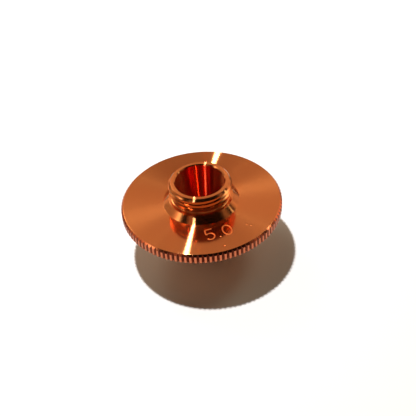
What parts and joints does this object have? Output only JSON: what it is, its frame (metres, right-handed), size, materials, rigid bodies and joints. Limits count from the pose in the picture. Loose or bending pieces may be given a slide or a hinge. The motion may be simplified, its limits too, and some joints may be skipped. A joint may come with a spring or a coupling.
{
  "type": "laser cutting nozzle",
  "caption": "Turned copper nozzle for a laser cutting head, with a threaded neck, a conical seat, a finger flange with a straight knurl, and a conical nose with a round orifice.",
  "frame": {"origin": "centre of the orifice in the plane of the tip's face, which is what the nozzle stands on", "axes": "+Z along the axis, from the tip towards the threaded neck; X and Y across it"},
  "size_m": [0.028, 0.028, 0.015],
  "materials": {
    "copper": "bright turned copper with fine concentric tool marks"
  },
  "bodies": {
    "root": {"nozzle": "copper"}
  },
  "joints": []
}
